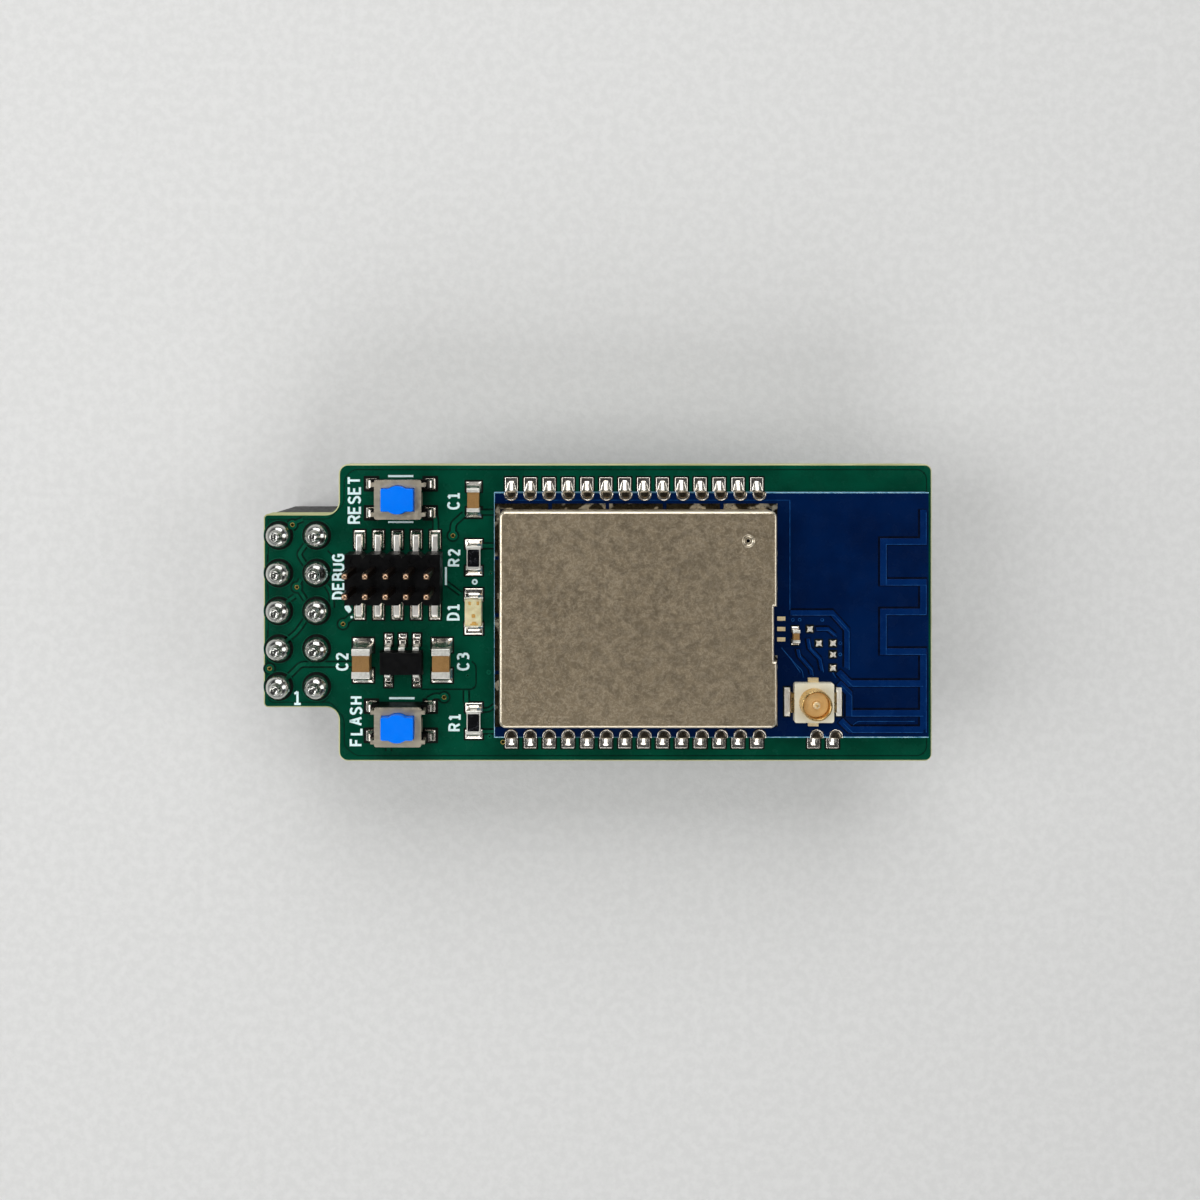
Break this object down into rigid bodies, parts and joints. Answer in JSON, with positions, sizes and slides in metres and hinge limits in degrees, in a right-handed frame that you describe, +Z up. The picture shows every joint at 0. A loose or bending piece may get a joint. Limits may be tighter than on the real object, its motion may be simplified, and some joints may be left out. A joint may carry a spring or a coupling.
{
  "type": "wireless radio module",
  "caption": "Plug-in radio board: pin socket under a narrow tab, two push switches, fine pin header, shielded radio board with a printed antenna and a coaxial port.",
  "frame": {"origin": "centre of the pin socket's mating face, on the underside of the board's narrow tab", "axes": "+X along the board towards the antenna, +Y across it towards the reset switch, +Z up, away from the host"},
  "size_m": [0.0452, 0.02, 0.0156],
  "materials": {
    "green_board": "glossy solder mask over glass laminate",
    "blue_board": "glossy solder mask over glass laminate",
    "masked_copper": "copper under glossy blue mask",
    "black_moulding": "matt moulded",
    "white_moulding": "satin moulded",
    "gold_plating": "gold plated",
    "bright_sheet": "bright tin or silver plate",
    "solder": "bright solder",
    "can_sheet": "dull tinned sheet",
    "blue_button": "smooth moulded",
    "capacitor_ceramic": "fired ceramic",
    "white_ceramic": "fired ceramic",
    "dark_coat": "glossy printed glass coat",
    "cream_resin": "cast resin"
  },
  "bodies": {
    "board": {"antenna_trace": "masked_copper", "c1_body": "capacitor_ceramic", "c2_body": "capacitor_ceramic", "c3_body": "capacitor_ceramic", "can_seam": "solder", "carrier_board": "green_board", "chip_ends": "solder", "chip_joints": "solder", "coax_insulator": "white_moulding", "coax_pin": "gold_plating", "coax_shell": "gold_plating", "crystals": "bright_sheet", "debug_header_body": "black_moulding", "debug_header_pads": "solder", "debug_header_pins": "gold_plating", "feed_traces": "masked_copper", "filter_cap_body": "capacitor_ceramic", "filter_cap_ends": "solder", "filter_pads": "solder", "filter_strips": "gold_plating", "flash_base": "black_moulding", "flash_cover": "bright_sheet", "flash_dome": "bright_sheet", "flash_pads": "solder", "flash_terminals": "bright_sheet", "inner_chips": "capacitor_ceramic", "light_base": "white_ceramic", "light_die": "gold_plating", "light_lens": "cream_resin", "module_board": "blue_board", "module_joints": "solder", "module_lands": "gold_plating", "radio_chip": "black_moulding", "regulator_body": "black_moulding", "regulator_leads": "bright_sheet", "regulator_pads": "solder", "reset_base": "black_moulding", "reset_cover": "bright_sheet", "reset_dome": "bright_sheet", "reset_pads": "solder", "reset_terminals": "bright_sheet", "resistor_coats": "dark_coat", "resistor_cores": "white_ceramic", "shield_can": "can_sheet", "socket_contacts": "gold_plating", "socket_housing": "black_moulding", "socket_joints": "solder"},
    "reset_button": {"reset_button": "blue_button"},
    "flash_button": {"flash_button": "blue_button"}
  },
  "joints": [
    {"name": "reset_press", "type": "slide", "parent": "board", "child": "reset_button", "axis": [0, 0, -1], "range_m": [0, 0.00025], "stiffness_N_per_m": 6400, "deforming": ["reset_dome"]},
    {"name": "flash_press", "type": "slide", "parent": "board", "child": "flash_button", "axis": [0, 0, -1], "range_m": [0, 0.00025], "stiffness_N_per_m": 6400, "deforming": ["flash_dome"]}
  ]
}
